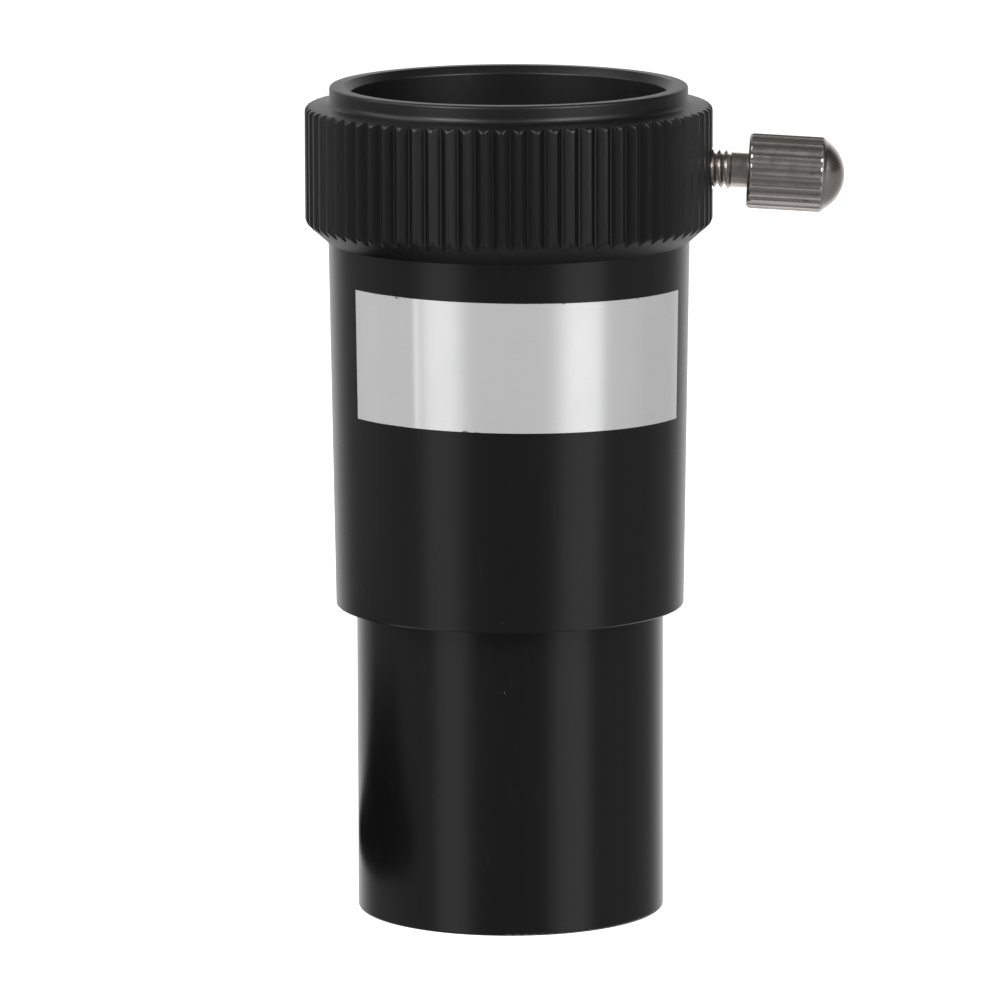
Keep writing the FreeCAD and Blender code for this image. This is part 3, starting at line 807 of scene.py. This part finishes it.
@dataclass
class FoilLabel:
    """The silvered label glued round the tube: bare, with faint creases and small nicks."""

    width: float = 0.0401
    height: float = 0.01325
    thickness: float = 0.00012
    turn: float = math.radians(7.6)
    tilt: float = math.radians(0.95)
    foot_radius: float = 0.01796
    top_radius: float = 0.01854
    foot_height: float = 0.0319
    top_height: float = 0.0697
    columns: int = 150
    rows: int = 22
    spare: float = 0.12
    smooth_angle: float = 40.0
    creases: tuple[Crease, ...] = (
        Crease(-30.0, 0.000045, 0.0009),
        Crease(-44.0, 0.00005, 0.0015),
        Crease(-37.0, -0.00002, 0.0012),
    )
    crease_width: float = 0.9
    nicks: tuple[Nick, ...] = (
        Nick(-35.2, 1.0, -0.00022),
        Nick(-34.6, 1.0, 0.00010),
        Nick(19.5, 1.0, -0.00012),
        Nick(46.5, 1.0, -0.00016),
        Nick(-12.0, -1.0, 0.00014),
        Nick(-8.4, -1.0, 0.00010),
    )
    nick_width: float = 1.0
    nick_height: float = 0.00015
    finish: FoilFace = field(default_factory=lambda: FoilFace("label_foil_finish"))

    def radius_at(self, height: float) -> float:
        """The tube's outside radius.

        Args:
            height: Height above the foot.

        Returns:
            The radius there.
        """
        share = (height - self.foot_height) / (self.top_height - self.foot_height)
        return self.foot_radius + (self.top_radius - self.foot_radius) * share

    def build(self) -> bpy.types.Object:
        """Model the label in place of its CAD node."""
        low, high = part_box("label_foil")
        middle = (low.z + high.z) / 2
        angle = self.width / self.radius_at(middle)
        piece = self._strip(middle, angle)
        self._trim(middle)
        self._mark(middle)
        bpy.ops.mesh.select_all(action="SELECT")
        bpy.ops.mesh.normals_make_consistent(inside=False)
        bpy.ops.object.mode_set(mode="OBJECT")
        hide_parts("label_foil")
        finish_piece(piece, Body.HOUSING, self.finish.material(), self.smooth_angle)
        return piece

    def _strip(self, middle: float, angle: float) -> bpy.types.Object:
        """Spin a thin upright plate round the tube, taller than the label.

        Args:
            middle: Height of the label's centre.
            angle: Angle that it covers.

        Returns:
            The strip, in edit mode.
        """
        reach = self.height * (0.5 + self.spare)
        start = self.turn - angle / 2 - math.pi / 2
        deselect()
        bpy.ops.mesh.primitive_grid_add(
            x_subdivisions=self.rows, y_subdivisions=1, size=1.0, location=(0.0, 0.0, 0.0)
        )
        piece = bpy.context.active_object
        piece.name = "foil_label"
        bpy.ops.object.mode_set(mode="EDIT")
        bpy.ops.mesh.select_all(action="SELECT")
        bpy.ops.transform.resize(value=(2 * reach, self.thickness, 1.0))
        bpy.ops.object.mode_set(mode="OBJECT")
        lean = math.atan2(self.top_radius - self.foot_radius, self.top_height - self.foot_height)
        centre = self.radius_at(middle) + self.thickness / 2
        upright = Matrix(((0.0, -1.0, 0.0), (0.0, 0.0, 1.0), (1.0, 0.0, 0.0))).to_4x4()
        placed = (
            Matrix.Rotation(start, 4, "Z")
            @ Matrix.Translation((centre, 0.0, middle))
            @ Matrix.Rotation(lean, 4, "Y")
            @ upright
        )
        piece.data.transform(placed)
        bpy.ops.object.mode_set(mode="EDIT")
        bpy.ops.mesh.select_all(action="SELECT")
        bpy.ops.mesh.spin(
            steps=self.columns, dupli=False, angle=angle, center=(0.0, 0.0, 0.0), axis=(0.0, 0.0, -1.0)
        )
        return piece

    def _trim(self, middle: float) -> None:
        """Cut the strip's long edges to the label's height and tilt.

        Args:
            middle: Height of the label's centre.
        """
        across = Vector((math.cos(self.turn), math.sin(self.turn), 0.0))
        upwards = Vector((0.0, 0.0, 1.0)) + across * math.tan(self.tilt)
        upwards.normalize()
        for side in (-1.0, 1.0):
            bpy.ops.mesh.select_all(action="SELECT")
            edge = Vector((0.0, 0.0, middle)) + upwards * (side * self.height / 2)
            bpy.ops.mesh.bisect(
                plane_co=edge, plane_no=upwards * side, use_fill=True, clear_outer=True, threshold=MERGE / 2
            )

    def _mark(self, middle: float) -> None:
        """Lift faint creases and nick the edges.

        Args:
            middle: Height of the label's centre.
        """
        for crease in self.creases:
            azimuth = math.radians(crease.azimuth)
            outward = Vector((math.sin(azimuth), -math.cos(azimuth), 0.0))
            choose(lambda place: self._apart(place, azimuth) < self.crease_width / 2)
            bpy.ops.transform.translate(
                value=outward * crease.lift,
                use_proportional_edit=True,
                proportional_edit_falloff="SMOOTH",
                proportional_size=crease.spread,
            )
        for nick in self.nicks:
            azimuth = math.radians(nick.azimuth)
            sag = math.sin(azimuth - self.turn) * math.tan(self.tilt) * self.top_radius
            edge = middle + nick.side * self.height / 2 - sag
            choose(
                lambda place: self._apart(place, azimuth) < self.nick_width / 2
                and abs(place.z - edge) < self.nick_height
            )
            bpy.ops.transform.translate(value=(0.0, 0.0, nick.shift))

    @staticmethod
    def _apart(place: Vector, azimuth: float) -> float:
        """Degrees round the tube between a place and an azimuth."""
        return math.degrees(abs(math.atan2(place.x, -place.y) - azimuth))


@dataclass
class Nosepiece:
    """The barrel that goes into a focuser, with the lens cell inside."""

    barrel_finish: MouldedPlastic = field(
        default_factory=lambda: MouldedPlastic("nosepiece_plastic", roughness=0.23, draw_lines=0.4)
    )
    cell_finish: MatteBlack = field(default_factory=lambda: MatteBlack("lens_cell_black"))
    glass_finish: CoatedGlass = field(default_factory=lambda: CoatedGlass("lens_glass_coated"))

    def build(self) -> None:
        """Dress the barrel, the cell, the ring, the doublet and the baffle."""
        dress_node("nosepiece_barrel", self.barrel_finish.material())
        black = self.cell_finish.material()
        for name in ("lens_cell", "retaining_ring", "baffle_ring"):
            dress_node(name, black)
        glass = self.glass_finish.material()
        for name in ("crown_lens", "flint_lens"):
            dress_node(name, glass)


@dataclass
class BodyTube:
    """The tube between nosepiece and collar, with its label."""

    label: FoilLabel = field(default_factory=FoilLabel)
    finish: MouldedPlastic = field(
        default_factory=lambda: MouldedPlastic("tube_plastic", roughness=0.25, draw_lines=0.4)
    )

    def build(self) -> None:
        """Dress the tube and model its label."""
        dress_node("body_tube", self.finish.material())
        self.label.build()


@dataclass
class EyepieceCollar:
    """The fluted collar with the eyepiece's socket and the thumbscrew's bush."""

    foot: float = 0.0697
    top: float = 0.0857
    neck_bore: float = 0.01745
    neck_end: float = 0.0738
    socket_radius: float = 0.0162
    socket_chamfer: float = 0.00075
    rim_radius: float = 0.01838
    rim_round: float = 0.0003
    wall_root: float = 0.08395
    shoulder_fillet: float = 0.0007
    grip_radius: float = 0.020899
    grip_top: float = 0.08355
    grip_edge: float = 0.0005
    grip_foot: float = 0.07178
    cone_round: float = 0.0009
    cone_radius: float = 0.01854
    flutes: int = 72
    flute_columns: int = 20
    flute_depth: float = 0.00058
    crest_share: float = 0.2
    wall_share: float = 0.7
    margin: float = 0.0001
    mouth_round: float = 0.00015
    bore_round: float = 0.00025
    round_steps: int = 6
    smooth_angle: float = 38.0
    screw_hole: float = 0.00215
    bush_radius: float = 0.00275
    bush_seat: float = 0.0013
    finish: MouldedPlastic = field(
        default_factory=lambda: MouldedPlastic(
            "collar_plastic",
            roughness=0.40,
            specular=0.45,
            dust_share=0.22,
            grain=0.00030,
            grain_depth=2.2e-6,
        )
    )
    bush_finish: TurnedBrass = field(default_factory=lambda: TurnedBrass("bush_brass"))

    def build(self) -> None:
        """Model the collar in place of its CAD node, and dress the bush."""
        piece = turned_sector("eyepiece_socket_collar", self._section(), self.flute_columns, self.flutes)
        self._press_flutes()
        spin_round(self.flutes)
        bpy.ops.object.mode_set(mode="OBJECT")
        cut_away(piece, self._screw_cutter())
        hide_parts("eyepiece_collar")
        finish_piece(piece, Body.HOUSING, self.finish.material(), self.smooth_angle)
        dress_node("thread_bush", self.bush_finish.material())

    def _section(self) -> list[Vector]:
        """Outline of the collar, from the foot's inner edge outwards and up."""
        root = self.grip_radius - self.flute_depth
        cone = (self.grip_radius - self.cone_radius) / (self.grip_foot - self.foot)
        slope = (self.wall_root - self.grip_top) / (self.grip_radius - self.rim_radius)
        plain = [root - self.flute_depth / 4 - step * self.margin for step in (0, 1)]
        lower = [(at, self.foot + (at - self.cone_radius) / cone, 0.0) for at in reversed(plain)]
        upper = [(at, self.grip_top + (self.grip_radius - at) * slope, 0.0) for at in plain]
        corners = [
            (self.neck_bore, self.foot, 0.0),
            (self.cone_radius, self.foot, 0.0),
            *lower,
            (self.grip_radius, self.grip_foot, self.cone_round),
            (self.grip_radius, self.grip_top, self.grip_edge),
            *upper,
            (self.rim_radius, self.wall_root, self.shoulder_fillet),
            (self.rim_radius, self.top, self.rim_round),
            (self.socket_radius + self.socket_chamfer, self.top, self.mouth_round),
            (self.socket_radius, self.top - self.socket_chamfer, self.bore_round),
            (self.socket_radius, self.neck_end, 0.0),
            (self.neck_bore, self.neck_end, 0.0),
        ]
        return outline(corners, self.round_steps)

    def _press_flutes(self) -> None:
        """Press the grip's columns in, each by its place between two crests."""
        middle = self.flute_columns // 2
        aim = 0.1 * math.pi / self.flutes / middle
        rings = [(point.x, point.y) for point in self._section()]
        for column in range(1, middle + 1):
            azimuth = math.pi / self.flutes * column / middle
            down = min(1.0, max(0.0, (column / middle - self.crest_share) / self.wall_share))
            radius = self.grip_radius - self.flute_depth * down
            for ring_radius, ring_height in rings:
                if ring_radius <= radius:
                    continue
                choose(
                    lambda place: abs(abs(math.atan2(place.y, place.x)) - azimuth) < aim
                    and abs(place.z - ring_height) < MERGE
                    and abs(math.hypot(place.x, place.y) - ring_radius) < MERGE
                )
                share = radius / ring_radius
                bpy.ops.transform.resize(value=(share, share, 1.0), center_override=(0.0, 0.0, 0.0))

    def _screw_cutter(self) -> bpy.types.Object:
        """Shape of the screw's hole and, from its seat inwards, of the bush's pocket."""
        outwards = Vector((math.cos(SCREW_DROOP), 0.0, -math.sin(SCREW_DROOP)))
        grip = Vector(SCREW_AT)
        deselect()
        bpy.ops.mesh.primitive_cylinder_add(
            vertices=64,
            radius=self.screw_hole,
            depth=2 * self.bush_seat,
            location=grip,
            rotation=(0.0, math.pi / 2 + SCREW_DROOP, 0.0),
        )
        cutter = bpy.context.active_object
        bpy.ops.object.transform_apply(location=True, rotation=True)
        bpy.ops.object.mode_set(mode="EDIT")
        choose(lambda place: (place - grip).dot(outwards) < -0.9 * self.bush_seat, Pick.FACES)
        share = self.bush_radius / self.screw_hole
        seat = grip - outwards * self.bush_seat
        bpy.ops.mesh.extrude_region_move(TRANSFORM_OT_translate={"value": (0.0, 0.0, 0.0)})
        bpy.ops.transform.resize(value=(share, share, share), center_override=seat)
        inwards = outwards * (self.socket_radius - self.grip_radius - self.bush_seat)
        bpy.ops.mesh.extrude_region_move(TRANSFORM_OT_translate={"value": inwards})
        bpy.ops.object.mode_set(mode="OBJECT")
        return cutter


@dataclass
class Thumbscrew:
    """The plated screw and its soft tip."""

    finish: NickelPlate = field(default_factory=lambda: NickelPlate("screw_nickel"))
    tip_finish: Nylon = field(default_factory=lambda: Nylon("tip_nylon"))

    def build(self) -> None:
        """Dress the screw and its tip."""
        dress_node("thumbscrew", self.finish.material())
        dress_node("thumbscrew_tip", self.tip_finish.material())


# Studio -----------------------------------------------------------------------------------------


@dataclass(frozen=True)
class SoftBox:
    """One area lamp aimed at the object."""

    name: str
    azimuth: float
    elevation: float
    distance: float
    width: float
    height: float
    radiance: float

    def build(self, target: Vector) -> None:
        """Hang the lamp.

        Args:
            target: What it points at.
        """
        lamp = bpy.data.lights.new(self.name, "AREA")
        lamp.shape = "RECTANGLE"
        lamp.size, lamp.size_y = self.width, self.height
        lamp.energy = self.radiance * math.pi * self.width * self.height
        holder = bpy.data.objects.new(self.name, lamp)
        across, up = math.radians(self.azimuth), math.radians(self.elevation)
        away = Vector((math.sin(across) * math.cos(up), -math.cos(across) * math.cos(up), math.sin(up)))
        holder.location = target + away * self.distance
        holder.rotation_euler = away.to_track_quat("Z", "Y").to_euler()
        holder.visible_camera = False
        bpy.context.scene.collection.objects.link(holder)


@dataclass(frozen=True)
class Floor:
    """A white floor that shows the object's shadow and is clear from below."""

    radius: float = 2.2
    sides: int = 96
    paint: Colour = (0.8, 0.8, 0.8)
    glow: float = 0.86

    def build(self) -> None:
        """Lay the floor, which the object's own gloss doesn't see."""
        deselect()
        bpy.ops.mesh.primitive_circle_add(vertices=self.sides, radius=self.radius, fill_type="NGON")
        floor = bpy.context.active_object
        floor.name = "studio_floor"
        floor.visible_shadow = floor.visible_glossy = floor.visible_diffuse = False
        material, graph = new_material("floor_white")
        paint = graph.node("ShaderNodeBsdfDiffuse", {}, {"Color": (*self.paint, 1.0)})
        strength = graph.ray("Is Camera Ray", "Is Transmission Ray") * self.glow
        glow = graph.node("ShaderNodeEmission", {}, {"Color": WHITE, "Strength": strength})
        lit = graph.node("ShaderNodeAddShader", {}, {0: paint.outputs[0], 1: glow.outputs[0]})
        clear = graph.node("ShaderNodeBsdfTransparent")
        under = graph.node("ShaderNodeNewGeometry").outputs["Backfacing"]
        mixed = graph.node("ShaderNodeMixShader", {}, {0: under, 1: lit.outputs[0], 2: clear.outputs[0]})
        graph.node("ShaderNodeOutputMaterial", {}, {"Surface": mixed.outputs[0]})
        floor.data.materials.append(material)


@dataclass(frozen=True)
class BlackCard:
    """A black card with round corners on the floor at the left, seen only in reflections."""

    azimuth: float = -106.0
    distance: float = 0.088
    size: tuple[float, float] = (0.114, 0.076)
    corner: float = 0.02
    corner_steps: int = 6
    paint: Colour = (0.003, 0.003, 0.003)

    def build(self, facing: float) -> None:
        """Lay the card.

        Args:
            facing: Azimuth of the camera's side, in degrees.
        """
        turn = math.radians(self.azimuth + facing)
        away = Vector((math.sin(turn), -math.cos(turn), 0.0))
        deselect()
        bpy.ops.mesh.primitive_plane_add(
            size=1.0, location=away * self.distance, rotation=(0.0, 0.0, math.atan2(away.y, away.x))
        )
        card = bpy.context.active_object
        card.name = "studio_card"
        bpy.ops.object.mode_set(mode="EDIT")
        bpy.ops.mesh.select_all(action="SELECT")
        bpy.ops.transform.resize(value=(*self.size, 1.0), orient_type="LOCAL")
        bpy.ops.mesh.bevel(affect="VERTICES", offset=self.corner, segments=self.corner_steps)
        bpy.ops.object.mode_set(mode="OBJECT")
        card.visible_camera = card.visible_transmission = False
        card.visible_diffuse = card.visible_shadow = False
        material, graph = new_material("card_black")
        paint = graph.node("ShaderNodeBsdfDiffuse", {}, {"Color": (*self.paint, 1.0)})
        graph.node("ShaderNodeOutputMaterial", {}, {"Surface": paint.outputs[0]})
        card.data.materials.append(material)


@dataclass(frozen=True)
class Band:
    """An upright strip of the surround, by degrees round from the camera's side."""

    start: float
    full: float
    fading: float
    end: float
    share: float

    def weight(self, degrees: Amount) -> Amount:
        """0 for directions outside the strip and its share for those within."""
        return degrees.rise(self.start, self.full) * (1 - degrees.rise(self.fading, self.end)) * self.share


@dataclass(frozen=True)
class Surround:
    """White for the camera; for the object, a grey front with two soft bright bands.

    Sides are in degrees round from the camera's side, and heights from -1 below to 1 above.
    """

    front_level: float = 0.17
    side_level: float = 0.26
    side_between: tuple[float, float] = (70.0, 115.0)
    upper_level: float = 0.12
    upper_between: tuple[float, float] = (0.05, 0.45)
    lower_level: float = 0.32
    lower_between: tuple[float, float] = (0.62, 0.8)
    band_level: float = 0.64
    bands: tuple[Band, ...] = (
        Band(-125.0, -95.0, -39.0, -24.0, 0.12),
        Band(-62.0, -52.0, -39.0, -24.0, 0.75),
        Band(24.0, 42.0, 60.0, 64.0, 1.0),
        Band(60.0, 66.0, 86.0, 100.0, 0.12),
    )
    dark_band: Band = Band(76.0, 84.0, 135.0, 150.0, 0.8)
    dark_between: tuple[float, float] = (0.0, 0.04)
    behind_between: tuple[float, float] = (124.0, 165.0)
    above_between: tuple[float, float] = (0.25, 0.7)

    def build(self, facing: float) -> None:
        """Make the world.

        Args:
            facing: Azimuth of the camera's side, in degrees.
        """
        world = bpy.data.worlds.new("studio_surround")
        bpy.context.scene.world = world
        world.use_nodes = True
        graph = Graph(world.node_tree)
        x, y, z = graph.split(graph.node("ShaderNodeTexCoord").outputs["Generated"])
        degrees = graph.math("ARCTAN2", x, -y) * (180 / math.pi) - facing
        away = abs(degrees)
        level = self.front_level + away.rise(*self.side_between) * (self.side_level - self.front_level)
        level = level + sum(band.weight(degrees) for band in self.bands) * self.band_level
        level = level + (self.upper_level - level) * z.rise(*self.upper_between)
        level = level + (self.lower_level - level) * (-z).rise(*self.lower_between)
        level = level * (1 - self.dark_band.weight(degrees) * z.rise(*self.dark_between))
        backdrop = away.rise(*self.behind_between) * (1 - z.rise(*self.above_between))
        seen = graph.ray("Is Camera Ray", "Is Transmission Ray") + graph.ray("Is Glossy Ray") * backdrop
        strength = level + (1 - level) * seen.math("MINIMUM", 1.0)
        glow = graph.node("ShaderNodeBackground", {}, {"Color": WHITE, "Strength": strength})
        graph.node("ShaderNodeOutputWorld", {}, {"Surface": glow.outputs[0]})


@dataclass(frozen=True)
class StudioCamera:
    """A long lens in front of the object, a little above it."""

    distance: float = 0.87741
    pitch: float = 9.689
    roll: float = -0.172
    lens: float = 306.0
    sensor: float = 36.0
    offset: float = -0.0010055
    clip: tuple[float, float] = (0.01, 10.0)

    def build(self, facing: float, target: Vector) -> None:
        """Stand the camera and make it the scene's.

        Args:
            facing: Azimuth of the camera's side, in degrees.
            target: Middle of the object.
        """
        data = bpy.data.cameras.new("studio_camera")
        data.sensor_width = self.sensor
        data.lens = self.lens
        data.clip_start, data.clip_end = self.clip
        data.dof.use_dof = False
        camera = bpy.data.objects.new("studio_camera", data)
        bpy.context.scene.collection.objects.link(camera)
        bpy.context.scene.camera = camera
        turn, pitch = math.radians(facing), math.radians(self.pitch)
        right = Vector((math.cos(turn), math.sin(turn), 0.0))
        level = Vector((math.sin(turn), -math.cos(turn), 0.0))
        back = level * math.cos(pitch) + Vector((0.0, 0.0, math.sin(pitch)))
        pose = Matrix((right, back.cross(right), back)).transposed().to_4x4()
        camera.matrix_world = (
            Matrix.Translation(target + right * self.offset + back * self.distance)
            @ pose
            @ Matrix.Rotation(math.radians(self.roll), 4, "Z")
        )


@dataclass
class Studio:
    """Floor, card, soft lamps, surround and camera."""

    facing: float = 2.2
    target_height: float = 0.042577
    lamps: tuple[SoftBox, ...] = (
        SoftBox("key_softbox", -42.0, 37.0, 0.9, 0.26, 0.50, 12.0),
        SoftBox("fill_softbox", 44.0, 34.0, 0.9, 0.26, 0.46, 12.0),
        SoftBox("left_softbox", -95.0, 40.0, 0.8, 0.25, 0.70, 2.9),
        SoftBox("right_softbox", 68.0, 40.0, 0.8, 0.20, 0.70, 1.4),
    )
    floor: Floor = Floor()
    card: BlackCard = BlackCard()
    surround: Surround = Surround()
    camera: StudioCamera = StudioCamera()

    def build(self) -> None:
        """Set the stage."""
        target = Vector((0.0, 0.0, self.target_height))
        for lamp in self.lamps:
            lamp.build(target)
        self.floor.build()
        self.card.build(self.facing)
        self.surround.build(self.facing)
        self.camera.build(self.facing, target)
        bpy.context.scene.view_settings.view_transform = "Standard"
        log.info("studio: %d lamps", len(self.lamps))


def main() -> None:
    """Build every sub-assembly and the studio."""
    logging.basicConfig(level=logging.INFO, format="%(message)s")
    for part in (Nosepiece(), BodyTube(), EyepieceCollar(), Thumbscrew(), Studio()):
        part.build()
        log.info("built %s", type(part).__name__)


if __name__ == "__main__":
    main()
